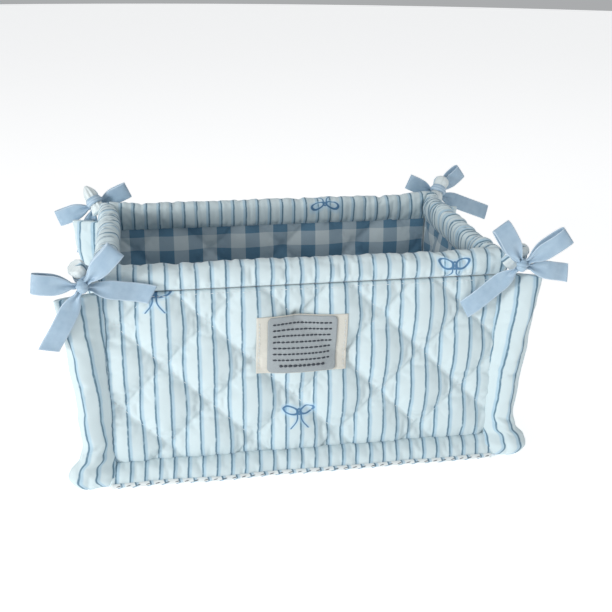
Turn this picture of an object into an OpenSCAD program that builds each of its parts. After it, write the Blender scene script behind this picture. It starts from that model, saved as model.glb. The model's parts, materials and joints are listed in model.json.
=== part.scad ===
// Quilted fabric sewing basket: five padded panels sewn edge to edge with the seams standing
// outwards, a stuffed hem round the rim, and a ribbon bow tied round the hem's ear at each corner.
// Millimetres. +X is to the right, +Y to the back, +Z up; the origin is on the floor under the middle.

/* [Body] */
// Width between the outer faces of the two side walls
body_w = 300; // [260:5:360]
// Depth between the outer faces of the front and back walls
body_d = 180; // [150:5:240]
// Height of the rim above the floor
rim_h = 170; // [150:5:200]

/* [Padding] */
// Thickness of the quilted outer cloth
outer_t = 3; // [2:0.5:4]
// Thickness of the wadding in a wall
wadding_t = 5; // [4:0.5:6]
// Thickness of the wadding in the base
base_wadding_t = 6; // [4:1:8]
// Thickness of the checked lining
lining_t = 2; // [1:0.5:3]

/* [Hem] */
// Height of the stuffed hem
hem_h = 20; // [16:1:24]
// Thickness of the stuffed hem
hem_t = 14; // [13:1:18]
// Thickness of the hem's own cloth
hem_cloth_t = 1.5; // [1:0.25:2]
// How far the hem's inner edge hangs below its roll
hem_skirt = 5; // [3:1:8]

/* [Corner seams] */
// How far a corner seam stands out at its top
seam_top_w = 34; // [28:1:40]
// How far a corner seam stands out at its waist, above the foot
seam_waist_w = 22; // [18:1:26]
// Thickness of a corner seam, two padded edges sewn together
seam_t = 7; // [5:0.5:9]
// Turn of a corner seam away from the front or back wall's line, in degrees
seam_angle = 20; // [10:5:30]
// Radius of the rounded foot under a corner seam
foot_r = 12; // [10:1:13]

/* [Base welt] */
// How far the welt round the base stands out
welt_w = 12; // [8:1:14]
// Height of the welt where it is sewn to the wall
welt_h = 17; // [14:1:20]
// Thickness of the tape that binds the welt's edge
binding_t = 3; // [2:0.5:4]
// Height of the tape that binds the welt's edge
binding_h = 5; // [4:0.5:6]

/* [Bows] */
// Width of the satin ribbon
ribbon_w = 14; // [12:1:16]
// Thickness of the satin ribbon
ribbon_t = 1; // [0.8:0.1:1.2]
// Radius of the hem's ear that the ribbon is tied round
ear_r = 6; // [5:0.5:7]
// Rise of the ear above the level, in degrees
ear_rise = 50; // [40:5:60]
// Depth of a bow's loop between its two layers
loop_gap = 8; // [6:1:9]

/* [Label] */
// Width of the label's cotton tape
tape_w = 66; // [50:1:80]
// Height of the label's cotton tape
tape_h = 43; // [30:1:50]
// Width of the printed patch on the tape
patch_w = 48; // [36:1:50]
// Tilt of the label, in degrees
label_tilt = 3; // [0:1:6]

/* [Hidden] */
$fn = 48;

// Colours of the cloths
stripe_blue = "#cfe0ea";
check_blue = "#8fb0d0";
wadding_white = "#f4f4f0";
satin_blue = "#a9c3e2";
tape_cream = "#eeeee2";
patch_grey = "#c3c7cb";

// Heights and thicknesses that follow from the driving sizes
wall_t = outer_t + wadding_t + lining_t;
base_t = outer_t + base_wadding_t + lining_t;
hem_z = rim_h - hem_h;
hem_proud = (hem_t - wall_t) / 2;
hem_round = hem_t / 2 - 1;

// One wall's place: [turn about Z, length, distance of its outer face from the middle]
FRONT = [0, body_w, body_d / 2];
RIGHT = [90, body_d, body_w / 2];
BACK = [180, body_w, body_d / 2];
LEFT = [270, body_d, body_w / 2];

// One corner's place: the signs of its X and Y
FRONT_LEFT = [-1, -1];
FRONT_RIGHT = [1, -1];
BACK_LEFT = [-1, 1];
BACK_RIGHT = [1, 1];

// The ear leaves the hem's outer corner at this turn, and the ribbon is tied round its neck
ear_turn = 225;
ear_len = 18;
neck_at = 11;
neck_band_t = 1;
neck_band_w = 7;
knot_r = 4.1;
knot_swing = 35;
welt_gap = 9;

// ---- Panels -------------------------------------------------------------------------------

// Stands a wall's parts, drawn along X with the outer face at -Y, on its own side of the basket
module on_side(side) {
  rotate([0, 0, side[0]]) children();
}

// A slab of a wall between two depths from its outer face, with mitred ends
module mitred_slab(side, depth_out, depth_in, z_low, z_high) {
  half = side[1] / 2;
  face = -side[2];
  translate([0, 0, z_low]) linear_extrude(z_high - z_low)
    polygon([[-half + depth_out, face + depth_out], [half - depth_out, face + depth_out],
             [half - depth_in, face + depth_in], [-half + depth_in, face + depth_in]]);
}

module outer_panel(side) {
  color(stripe_blue) on_side(side) mitred_slab(side, 0, outer_t, base_t, hem_z);
}

module wadding(side) {
  color(wadding_white) on_side(side) mitred_slab(side, outer_t, outer_t + wadding_t, base_t, hem_z);
}

module lining(side) {
  color(check_blue) on_side(side) mitred_slab(side, outer_t + wadding_t, wall_t, base_t, hem_z);
}

// A slab of the base between two heights
module base_layer(z_low, z_high) {
  translate([-body_w / 2, -body_d / 2, z_low]) cube([body_w, body_d, z_high - z_low]);
}

module base_outer_panel() {
  color(stripe_blue) base_layer(0, outer_t);
}

module base_wadding() {
  color(wadding_white) base_layer(outer_t, outer_t + base_wadding_t);
}

module base_lining() {
  color(check_blue) base_layer(outer_t + base_wadding_t, base_t);
}

// ---- Stuffed hem --------------------------------------------------------------------------

// The hem's round-cornered section, in the wall's own Y and Z, smaller all round by inset
module hem_section(side, inset) {
  y_mid = -side[2] + wall_t / 2;
  half_t = hem_t / 2 - inset;
  round_r = hem_round - inset;
  for (y = [y_mid - half_t + round_r, y_mid + half_t - round_r])
    for (z = [hem_z + inset + round_r, rim_h - inset - round_r])
      translate([y, z]) circle(round_r);
  translate([y_mid - half_t, hem_z + inset + round_r]) square([2 * half_t, hem_h - 2 * inset - 2 * round_r]);
  translate([y_mid - half_t + round_r, hem_z + inset]) square([2 * (half_t - round_r), hem_h - 2 * inset]);
}

// Sweeps a section along the wall and mitres both ends where two hems meet
module along_hem(side) {
  intersection() {
    rotate([90, 0, 90]) translate([0, 0, -side[1] / 2 - hem_t])
      linear_extrude(side[1] + 2 * hem_t) children();
    mitred_slab(side, -hem_t, wall_t + hem_t, 0, rim_h + hem_t);
  }
}

module hem_casing(side) {
  inner_face = -side[2] + wall_t;
  color(stripe_blue) on_side(side) along_hem(side) {
    difference() {
      hem_section(side, 0);
      hem_section(side, hem_cloth_t);
    }
    translate([inner_face, hem_z - hem_skirt]) square([hem_cloth_t, hem_skirt + hem_round / 2]);
  }
}

module hem_filler(side) {
  color(wadding_white) on_side(side) along_hem(side) hem_section(side, hem_cloth_t);
}

// ---- Base welt ----------------------------------------------------------------------------

// The welt's section: sewn to the wall at its top, drooping out to the floor
module base_welt(side) {
  face = -side[2];
  run = side[1] - 2 * welt_gap;
  shoulder = [face - welt_w / 3, welt_h - 2];
  edge = face - welt_w;
  color(stripe_blue) on_side(side) rotate([90, 0, 90]) translate([0, 0, -run / 2]) linear_extrude(run)
    polygon([[face, 0], [face, welt_h], shoulder, [edge, binding_h], [edge, 0]]);
}

// The tape along the welt's outer edge, one straight run a side
module binding_run(side) {
  face = -side[2] - welt_w;
  run = side[1] - 2 * welt_gap;
  on_side(side) rotate([90, 0, 90]) translate([0, 0, -run / 2]) linear_extrude(run)
    translate([face - binding_t, 0]) square([binding_t, binding_h]);
}

module base_binding() {
  color(tape_cream) for (side = [FRONT, RIGHT, BACK, LEFT]) binding_run(side);
}

// ---- Corners ------------------------------------------------------------------------------

// Draws in a frame at the walls' outer corner, with the basket at +X +Y, and mirrors it to a corner
module at_corner(corner) {
  mirror([corner[0] > 0 ? 1 : 0, 0, 0]) mirror([0, corner[1] > 0 ? 1 : 0, 0])
    translate([-body_w / 2, -body_d / 2, 0]) children();
}

// The two padded edges sewn together, standing out of the corner, with a rounded foot on the floor
module corner_seam(corner) {
  outline = [[-4, 0], [seam_waist_w, 0], [seam_waist_w, 30], [seam_waist_w + 2, rim_h / 2],
             [seam_top_w, hem_z - 25], [seam_top_w, hem_z - 6], [seam_top_w - 6, hem_z], [-4, hem_z]];
  color(stripe_blue) at_corner(corner) difference() {
    rotate([0, 0, 180 + seam_angle]) {
      rotate([90, 0, 0]) linear_extrude(seam_t, center = true) polygon(outline);
      translate([foot_r + 2, 0, 0]) {
        cylinder(r1 = foot_r - 2, r2 = foot_r, h = 3);
        translate([0, 0, 3]) cylinder(r = foot_r, h = 5);
        translate([0, 0, 8]) cylinder(r1 = foot_r, r2 = foot_r - 5, h = 6);
      }
    }
    translate([0, 0, -1]) cube([body_w / 2, body_d / 2, rim_h]);
  }
}

// Takes X along the ear, from the hem's outer corner
module along_ear() {
  translate([-hem_proud, -hem_proud, rim_h - hem_h / 2]) rotate([0, -ear_rise, ear_turn]) children();
}

// The hems' ends pinched together into a short round ear
module hem_ear(corner) {
  color(stripe_blue) at_corner(corner) difference() {
    along_ear() {
      translate([-4, 0, 0]) rotate([0, 90, 0]) cylinder(r = ear_r, h = ear_len + 4);
      translate([ear_len, 0, 0]) sphere(ear_r);
    }
    translate([-hem_proud, -hem_proud, 0]) cube([body_w / 2, body_d / 2, rim_h + hem_h]);
  }
}

// ---- Bows ---------------------------------------------------------------------------------

// The knot's middle in the corner frame: off the ear's neck, swung round to its outer side
knot_off = ear_r + neck_band_t + knot_r - 0.5;
ear_out = [cos(ear_turn), sin(ear_turn)];
ear_side = [-sin(ear_turn), cos(ear_turn)];
neck = [-hem_proud + neck_at * cos(ear_rise) * ear_out[0], -hem_proud + neck_at * cos(ear_rise) * ear_out[1],
        rim_h - hem_h / 2 + neck_at * sin(ear_rise)];
knot_dir = [sin(ear_rise) * ear_out[0] * cos(knot_swing) + ear_side[0] * sin(knot_swing),
            sin(ear_rise) * ear_out[1] * cos(knot_swing) + ear_side[1] * sin(knot_swing),
            -cos(ear_rise) * cos(knot_swing)];
knot = neck + knot_off * knot_dir;

// The band round the ear's neck and the knot on it
module bow_knot(corner) {
  color(satin_blue) at_corner(corner) {
    along_ear() translate([neck_at - neck_band_w / 2, 0, 0]) rotate([0, 90, 0]) difference() {
      cylinder(r = ear_r + neck_band_t, h = neck_band_w);
      translate([0, 0, -1]) cylinder(r = ear_r, h = neck_band_w + 2);
    }
    translate(knot) {
      translate([0, 0, -1]) cylinder(r = knot_r, h = 2);
      for (z = [-1, 1]) translate([0, 0, z]) sphere(knot_r);
    }
  }
}

// A loop or tail leaves the knot at a bearing and a rise, in degrees, and starts root_off from its middle
root_off = 7;
root_r = 1.2;
root_half_w = 2.3;
taper = 14;

module from_knot(corner, bearing, rise) {
  at = [corner[0] * (body_w / 2 - knot[0]), corner[1] * (body_d / 2 - knot[1]), knot[2]];
  translate(at) rotate([0, -rise, bearing]) translate([root_off, 0, 0]) children();
}

// Keeps a ribbon's gathered width: narrow at the knot, full after the taper, slant-cut at the end
module ribbon_outline(len, slant) {
  half = ribbon_w / 2;
  rotate([90, 0, 0]) linear_extrude(4 * loop_gap, center = true)
    polygon([[-root_r, -root_half_w], [0, -root_half_w], [taper, -half], [len + 1, -half],
             [len + 1 - slant, half], [taper, half], [0, root_half_w], [-root_r, root_half_w]]);
}

module tail(corner, bearing, rise, len) {
  color(satin_blue) from_knot(corner, bearing, rise) intersection() {
    translate([0, 0, -ribbon_w / 2]) linear_extrude(ribbon_w) {
      circle(root_r);
      translate([0, -ribbon_t / 2]) square([len, ribbon_t]);
    }
    ribbon_outline(len - 1, 3);
  }
}

// A loop's side view: it widens from its start to the round fold at its end
fold_step = 15;

module loop_side(start, start_half, fold_x, fold_r) {
  fold = [for (turn = [90:-fold_step:-90]) [fold_x + fold_r * cos(turn), fold_r * sin(turn)]];
  polygon(concat([[start, -start_half], [start, start_half]], fold));
}

module loop(corner, bearing, rise, len) {
  fold_x = len - loop_gap / 2;
  color(satin_blue) from_knot(corner, bearing, rise) intersection() {
    translate([0, 0, -ribbon_w / 2]) union() {
      cylinder(r = root_r, h = ribbon_w);
      linear_extrude(ribbon_w) difference() {
        loop_side(0, root_r - 0.4, fold_x, loop_gap / 2);
        loop_side(2 * root_r, 0.2, fold_x, loop_gap / 2 - ribbon_t);
      }
    }
    ribbon_outline(len, 0);
  }
}

// ---- Label --------------------------------------------------------------------------------

label_t = 0.6;
label_z = 106;

module on_label(depth) {
  translate([0, -body_d / 2 - depth, label_z]) rotate([0, -label_tilt, 0]) children();
}

module label_tape() {
  color(tape_cream) on_label(label_t) translate([-tape_w / 2, 0, -tape_h / 2])
    cube([tape_w, label_t, tape_h]);
}

module label_patch() {
  color(patch_grey) on_label(2 * label_t) translate([-tape_w / 2 + 8, 0, -tape_h / 2 + 1])
    cube([patch_w, label_t, tape_h - 2]);
}

// ---- Nodes --------------------------------------------------------------------------------

base_outer_panel();
base_wadding();
base_lining();

outer_panel(FRONT);  // front_outer_panel
wadding(FRONT);  // front_wadding
lining(FRONT);  // front_lining
hem_casing(FRONT);  // front_hem_casing
hem_filler(FRONT);  // front_hem_filler
outer_panel(BACK);  // back_outer_panel
wadding(BACK);  // back_wadding
lining(BACK);  // back_lining
hem_casing(BACK);  // back_hem_casing
hem_filler(BACK);  // back_hem_filler
outer_panel(LEFT);  // left_outer_panel
wadding(LEFT);  // left_wadding
lining(LEFT);  // left_lining
hem_casing(LEFT);  // left_hem_casing
hem_filler(LEFT);  // left_hem_filler
outer_panel(RIGHT);  // right_outer_panel
wadding(RIGHT);  // right_wadding
lining(RIGHT);  // right_lining
hem_casing(RIGHT);  // right_hem_casing
hem_filler(RIGHT);  // right_hem_filler

base_welt(FRONT);  // front_base_welt
base_welt(BACK);  // back_base_welt
base_welt(LEFT);  // left_base_welt
base_welt(RIGHT);  // right_base_welt
base_binding();

corner_seam(FRONT_LEFT);  // front_left_corner_seam
corner_seam(FRONT_RIGHT);  // front_right_corner_seam
corner_seam(BACK_LEFT);  // back_left_corner_seam
corner_seam(BACK_RIGHT);  // back_right_corner_seam
hem_ear(FRONT_LEFT);  // front_left_hem_ear
hem_ear(FRONT_RIGHT);  // front_right_hem_ear
hem_ear(BACK_LEFT);  // back_left_hem_ear
hem_ear(BACK_RIGHT);  // back_right_hem_ear

bow_knot(FRONT_LEFT);  // front_left_bow_knot
loop(FRONT_LEFT, 183, 8, 27);  // front_left_loop_left
loop(FRONT_LEFT, -4, 47, 29);  // front_left_loop_right
tail(FRONT_LEFT, 191, -60, 46);  // front_left_tail_left
tail(FRONT_LEFT, 12, -14, 44);  // front_left_tail_right

bow_knot(FRONT_RIGHT);  // front_right_bow_knot
loop(FRONT_RIGHT, 186, 57, 31);  // front_right_loop_left
loop(FRONT_RIGHT, -8, 36, 33);  // front_right_loop_right
tail(FRONT_RIGHT, 165, -43, 49);  // front_right_tail_left
tail(FRONT_RIGHT, -2, -12, 32);  // front_right_tail_right

bow_knot(BACK_LEFT);  // back_left_bow_knot
loop(BACK_LEFT, 175, -20, 29);  // back_left_loop_left
loop(BACK_LEFT, -8, 25, 27);  // back_left_loop_right
tail(BACK_LEFT, 170, -74, 42);  // back_left_tail_left
tail(BACK_LEFT, -8, -38, 42);  // back_left_tail_right

bow_knot(BACK_RIGHT);  // back_right_bow_knot
loop(BACK_RIGHT, 188, 25, 25);  // back_right_loop_left
loop(BACK_RIGHT, 11, 38, 26);  // back_right_loop_right
tail(BACK_RIGHT, 188, -60, 42);  // back_right_tail_left
tail(BACK_RIGHT, 3, -22, 53);  // back_right_tail_right

label_tape();
label_patch();
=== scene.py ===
import json
import math
import random

import bmesh
import bpy
from mathutils import Matrix, Vector, noise
from mathutils.bvhtree import BVHTree


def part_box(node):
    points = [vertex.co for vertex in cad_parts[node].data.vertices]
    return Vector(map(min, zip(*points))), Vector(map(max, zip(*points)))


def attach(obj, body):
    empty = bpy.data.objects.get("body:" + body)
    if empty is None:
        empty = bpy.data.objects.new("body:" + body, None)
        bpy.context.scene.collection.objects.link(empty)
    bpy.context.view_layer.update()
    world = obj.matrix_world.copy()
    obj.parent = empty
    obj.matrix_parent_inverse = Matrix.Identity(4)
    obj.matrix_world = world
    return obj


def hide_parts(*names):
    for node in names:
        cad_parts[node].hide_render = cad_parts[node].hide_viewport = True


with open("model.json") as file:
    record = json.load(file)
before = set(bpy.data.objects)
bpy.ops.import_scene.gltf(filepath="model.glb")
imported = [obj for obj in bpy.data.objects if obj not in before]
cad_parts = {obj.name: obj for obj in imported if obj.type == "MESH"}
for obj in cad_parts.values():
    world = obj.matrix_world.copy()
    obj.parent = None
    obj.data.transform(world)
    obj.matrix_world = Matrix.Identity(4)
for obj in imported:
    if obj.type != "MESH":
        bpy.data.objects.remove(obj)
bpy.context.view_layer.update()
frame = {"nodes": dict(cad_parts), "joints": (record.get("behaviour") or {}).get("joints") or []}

scene = bpy.context.scene

# ---- The view ------------------------------------------------------------------------------
# A lens of about 54 mm, a little to the left of the basket's front and looking down on its rim.
view_turn, view_drop, view_roll = -0.176, 0.374, 0.011
view_target = Vector((0.0156, 0.0, 0.0977))
view_back = Vector((math.sin(view_turn) * math.cos(view_drop),
                    -math.cos(view_turn) * math.cos(view_drop), math.sin(view_drop)))
view_right = (-view_back).cross(Vector((0, 0, 1))).normalized()
view_up = view_right.cross(-view_back)
lens_right = math.cos(view_roll) * view_right + math.sin(view_roll) * view_up
lens_up = -math.sin(view_roll) * view_right + math.cos(view_roll) * view_up
camera = bpy.data.objects.new("view", bpy.data.cameras.new("view"))
scene.collection.objects.link(camera)
camera.data.lens = 53.95
camera.data.clip_start = 0.01
camera.matrix_world = Matrix.Translation(view_target + 0.7701 * view_back) @ Matrix(
    (lens_right, lens_up, view_back)).transposed().to_4x4()
scene.camera = camera

# ---- The room ------------------------------------------------------------------------------
# A plain white floor, a pale surround, one large soft light low from the left and in front, and
# a weaker one from above.
scene.view_settings.view_transform = "Standard"


def set_inputs(node, values):
    for label, value in values.items():
        node.inputs[label].default_value = value


world = bpy.data.worlds.new("surround")
scene.world = world
world.use_nodes = True
set_inputs(world.node_tree.nodes["Background"], {"Color": (0.96, 0.98, 1.0, 1), "Strength": 0.42})

floor_bm = bmesh.new()
bmesh.ops.create_circle(floor_bm, cap_ends=True, segments=96, radius=6.0)
floor_mesh = bpy.data.meshes.new("floor")
floor_bm.to_mesh(floor_mesh)
floor_bm.free()
floor = bpy.data.objects.new("floor", floor_mesh)
scene.collection.objects.link(floor)
floor_paint = bpy.data.materials.new("white_floor")
floor_paint.use_nodes = True
set_inputs(floor_paint.node_tree.nodes["Principled BSDF"],
           {"Base Color": (0.96, 0.96, 0.96, 1), "Roughness": 0.9, "Emission Color": (1, 1, 1, 1),
            "Emission Strength": 0.48})
floor_mesh.materials.append(floor_paint)


def soft_light(name, place, aim, size, power):
    lamp = bpy.data.objects.new(name, bpy.data.lights.new(name, "AREA"))
    lamp.data.size = size
    lamp.data.energy = power
    lamp.location = place
    lamp.rotation_euler = (Vector(aim) - Vector(place)).to_track_quat("-Z", "Y").to_euler()
    scene.collection.objects.link(lamp)
    return lamp


soft_light("window", (-1.6, -1.1, 0.40), (0, 0, 0.08), 0.5, 19)
soft_light("overhead", (0.3, -0.4, 2.0), (0, 0, 0.08), 1.4, 8)


# ---- Striped cotton ------------------------------------------------------------------------
# The outer cloth: white cotton with printed pinstripes, each a thin teal line with a pale blue
# shade along it, in a plain weave that shows as a faint grain. Its print runs in cloth metres.
def new_material(name):
    material = bpy.data.materials.new(name)
    material.use_nodes = True
    return material, material.node_tree, material.node_tree.nodes["Principled BSDF"]


def group(name, wants, gives):
    tree = bpy.data.node_groups.new(name, "ShaderNodeTree")
    for label, kind, value in wants:
        socket = tree.interface.new_socket(name=label, in_out="INPUT", socket_type=kind)
        if value is not None:
            socket.default_value = value
    for label, kind in gives:
        tree.interface.new_socket(name=label, in_out="OUTPUT", socket_type=kind)
    return tree, tree.nodes.new("NodeGroupInput"), tree.nodes.new("NodeGroupOutput")


def sum_up(tree, action, *terms):
    """A math node: each term is a number or another node's output."""
    node = tree.nodes.new("ShaderNodeMath")
    node.operation = action
    for socket, term in zip(node.inputs, terms):
        if isinstance(term, (int, float)):
            socket.default_value = term
        else:
            tree.links.new(term, socket)
    return node.outputs[0]


def times(tree, first, second):
    return sum_up(tree, "MULTIPLY", first, second)


def plus(tree, first, second):
    return sum_up(tree, "ADD", first, second)


def minus(tree, first, second):
    return sum_up(tree, "SUBTRACT", first, second)


def divided(tree, first, second):
    return sum_up(tree, "DIVIDE", first, second)


def ease(tree, value, start, end):
    """0 below start, 1 above end, smooth between; start may be above end."""
    node = tree.nodes.new("ShaderNodeMapRange")
    node.interpolation_type = "SMOOTHSTEP"
    tree.links.new(value, node.inputs["Value"])
    low, high, at_low, at_high = (start, end, 0.0, 1.0) if start < end else (end, start, 1.0, 0.0)
    for label, number in (("From Min", low), ("From Max", high), ("To Min", at_low), ("To Max", at_high)):
        node.inputs[label].default_value = number
    return node.outputs["Result"]


def mix_colour(tree, share, first, second, blend="MIX"):
    node = tree.nodes.new("ShaderNodeMix")
    node.data_type = "RGBA"
    node.blend_type = blend
    for socket, term in ((node.inputs["Factor"], share), (node.inputs["A"], first),
                         (node.inputs["B"], second)):
        if isinstance(term, (int, float)):
            socket.default_value = term
        elif isinstance(term, tuple):
            socket.default_value = (*term, 1)
        else:
            tree.links.new(term, socket)
    return node.outputs["Result"]


FLOAT, VECTOR = "NodeSocketFloat", "NodeSocketVector"

plain_weave, want, give = group("plain_weave", [("Cloth", VECTOR, None), ("Thread", FLOAT, 0.0006)],
                                [("Height", FLOAT), ("Slub", FLOAT)])
cloth_xy = plain_weave.nodes.new("ShaderNodeSeparateXYZ")
plain_weave.links.new(want.outputs["Cloth"], cloth_xy.inputs[0])
over = [times(plain_weave, divided(plain_weave, cloth_xy.outputs[axis],
        want.outputs["Thread"]), math.pi) for axis in (0, 1)]
warp_weft = times(plain_weave, sum_up(plain_weave, "SINE", over[0]), sum_up(plain_weave, "SINE", over[1]))
slub = plain_weave.nodes.new("ShaderNodeTexNoise")
set_inputs(slub, {"Scale": 900, "Detail": 3})
plain_weave.links.new(want.outputs["Cloth"], slub.inputs["Vector"])
plain_weave.links.new(plus(plain_weave, times(plain_weave, warp_weft, 0.5),
                             slub.outputs["Fac"]), give.inputs["Height"])
plain_weave.links.new(slub.outputs["Fac"], give.inputs["Slub"])

pinstripe, want, give = group(
    "pinstripe", [("Cloth", VECTOR, None), ("Pitch", FLOAT, 0.0108), ("Start", FLOAT, 0.0)],
    [("Line", FLOAT), ("Shade", FLOAT)])
cloth_xy = pinstripe.nodes.new("ShaderNodeSeparateXYZ")
pinstripe.links.new(want.outputs["Cloth"], cloth_xy.inputs[0])
wander = pinstripe.nodes.new("ShaderNodeTexNoise")
set_inputs(wander, {"Scale": 140, "Detail": 2})
pinstripe.links.new(want.outputs["Cloth"], wander.inputs["Vector"])
shifted = plus(pinstripe, minus(pinstripe, cloth_xy.outputs[0], want.outputs["Start"]),
                 times(pinstripe, minus(pinstripe, wander.outputs["Fac"], 0.5), 0.0011))
turn = divided(pinstripe, shifted, want.outputs["Pitch"])
off_line = times(pinstripe, minus(pinstripe, turn, sum_up(
    pinstripe, "ROUND", turn)), want.outputs["Pitch"])
pinstripe.links.new(times(pinstripe,
                          ease(pinstripe, sum_up(pinstripe, "ABSOLUTE", off_line), 0.00085, 0.00038),
                           ease(pinstripe, wander.outputs["Fac"], 0.1, 0.5)), give.inputs["Line"])
beside = sum_up(pinstripe, "ABSOLUTE", minus(pinstripe, off_line, 0.0009))
pinstripe.links.new(ease(pinstripe, beside, 0.0023, 0.0008), give.inputs["Shade"])


def bow_outline(tree, cloth, centre, size):
    """A little line-drawn bow printed on the cloth: two loops, a knot and two tails."""
    xyz = tree.nodes.new("ShaderNodeSeparateXYZ")
    tree.links.new(cloth, xyz.inputs[0])
    x = divided(tree, minus(tree, xyz.outputs[0], centre[0]), size)
    y = divided(tree, minus(tree, xyz.outputs[1], centre[1]), size)
    far = sum_up(tree, "ABSOLUTE", x)

    def ring(cx, cy, rx, ry, lean):
        dx, dy = minus(tree, far, cx), minus(tree, y, cy)
        c, s = math.cos(lean), math.sin(lean)
        u = divided(tree, plus(tree, times(tree, dx, c), times(tree, dy, s)), rx)
        v = divided(tree, minus(tree, times(tree, dy, c), times(tree, dx, s)), ry)
        reach = sum_up(tree, "SQRT", plus(tree, times(tree, u, u), times(tree, v, v)))
        return times(tree, sum_up(tree, "ABSOLUTE", minus(tree, reach, 1.0)), min(rx, ry))

    loop_line = ring(0.27, 0.16, 0.24, 0.12, 0.35)
    knot_line = ring(0.0, 0.10, 0.07, 0.08, 0.0)
    swing = times(tree, sum_up(tree, "SINE", times(tree, y, 9.0)), 0.05)
    tail_line = sum_up(tree, "ABSOLUTE",
                       minus(tree, far, plus(tree, times(tree, y, -0.42), plus(tree, swing, 0.06))))
    tail_line = plus(tree, tail_line, plus(tree, ease(tree, y, 0.02, 0.06), ease(tree, y, -0.44, -0.48)))
    nearest = sum_up(tree, "MINIMUM", loop_line, sum_up(tree, "MINIMUM", knot_line, tail_line))
    line = ease(tree, nearest, 0.034, 0.014)
    fill = times(tree, ease(tree, nearest, 0.14, 0.02), 0.5)
    box = times(tree, ease(tree, far, 0.6, 0.58), ease(tree, sum_up(tree, "ABSOLUTE", y), 0.6, 0.58))
    return times(tree, line, box), times(tree, fill, box)


def cloth_bump(tree, shader, height, depth, strength=0.5):
    bump = tree.nodes.new("ShaderNodeBump")
    set_inputs(bump, {"Strength": strength, "Distance": depth})
    tree.links.new(height, bump.inputs["Height"])
    tree.links.new(bump.outputs["Normal"], shader.inputs["Normal"])


def use_group(tree, which, vector, **values):
    node = tree.nodes.new("ShaderNodeGroup")
    node.node_tree = which
    tree.links.new(vector, node.inputs["Cloth"])
    set_inputs(node, values)
    return node


def striped_cotton(name, start, bows=(), white=(0.62, 0.73, 0.76), pitch=0.0108):
    material, tree, shader = new_material(name)
    cloth = tree.nodes.new("ShaderNodeUVMap")
    cloth.uv_map = "cloth"
    weave = use_group(tree, plain_weave, cloth.outputs["UV"], Thread=0.0006)
    stripe = use_group(tree, pinstripe, cloth.outputs["UV"], Pitch=pitch, Start=start)
    colour = mix_colour(tree, times(tree, weave.outputs["Slub"], 0.10), white, (0.50, 0.59, 0.61))
    colour = mix_colour(tree, times(tree, stripe.outputs["Shade"], 0.75), colour, (0.36, 0.54, 0.67))
    colour = mix_colour(tree, times(tree, stripe.outputs["Line"], 0.9), colour, (0.075, 0.17, 0.245))
    for centre, size in bows:
        line, fill = bow_outline(tree, cloth.outputs["UV"], centre, size)
        colour = mix_colour(tree, fill, colour, (0.42, 0.66, 0.86))
        colour = mix_colour(tree, line, colour, (0.08, 0.20, 0.36))
    tree.links.new(colour, shader.inputs["Base Color"])
    set_inputs(shader, {"Roughness": 0.85, "Sheen Weight": 0.25, "Sheen Roughness": 0.5})
    cloth_bump(tree, shader, weave.outputs["Height"], 0.00012)
    return material


# ---- Quilted walls -------------------------------------------------------------------------
# Each wall is striped cotton quilted over wadding: lines of stitches cross into diamonds, the
# cloth between them swells outwards, and where two lines cross it is pulled in to a small dimple.
WALLS = {}
for side, turn in (("front", 0), ("right", 90), ("back", 180), ("left", 270)):
    low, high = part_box(side + "_outer_panel")
    lengthwise, outward = (0, 1) if turn in (0, 180) else (1, 0)
    face = max(abs(low[outward]), abs(high[outward]))
    WALLS[side] = (turn, high[lengthwise], face)
quilt_cell = 0.002
quilt_diamond = 0.065
seam_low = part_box("front_outer_panel")[0][2] + 0.0015
hem_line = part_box("front_outer_panel")[1][2]


def to_wall(side):
    """From a wall's own place (along it, inwards, up) to the basket's."""
    turn, half, face = WALLS[side]
    return Matrix.Rotation(math.radians(turn), 4, "Z") @ Matrix.Translation((0, -face, 0))


def crease_at(x, y, z):
    """How the cloth lies at a place: a smooth random value, the same every time."""
    return noise.noise(Vector((x, y, z)))


def cut_cloth(name, cells_along, cells_across, place, printed, tube=False):
    """A cut of cloth laid over place(s, t), s and t from 0 to 1, its print at printed(s, t). A tube
    is joined along its two long edges and closed at both ends."""
    bm = bmesh.new()
    bmesh.ops.create_grid(bm, x_segments=cells_along, y_segments=cells_across, size=0.5)
    if tube:
        rows = [sorted((v for v in bm.verts if abs(v.co.y - edge) < 1e-5), key=lambda v: v.co.x)
                for edge in (-0.5, 0.5)]
        loops = [[bm.edges.get(pair) for pair in zip(row, row[1:])] for row in rows]
        bmesh.ops.bridge_loops(bm, edges=loops[0] + loops[1])
    uv = bm.loops.layers.uv.new("cloth")
    for face_ in bm.faces:
        face_.smooth = True
        for loop in face_.loops:
            loop[uv].uv = printed(loop.vert.co.x + 0.5, loop.vert.co.y + 0.5)
    for vert in bm.verts:
        vert.co = place(vert.co.x + 0.5, vert.co.y + 0.5)
    if tube:
        bmesh.ops.holes_fill(bm, edges=[e for e in bm.edges if e.is_boundary], sides=0)
        bmesh.ops.recalc_face_normals(bm, faces=bm.faces[:])
    return bm


def make_piece(name, bm, material, matrix=None):
    if matrix is not None:
        bm.transform(matrix)
    mesh = bpy.data.meshes.new(name)
    bm.to_mesh(mesh)
    bm.free()
    mesh.materials.append(material)
    piece = bpy.data.objects.new(name, mesh)
    scene.collection.objects.link(piece)
    return piece


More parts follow.
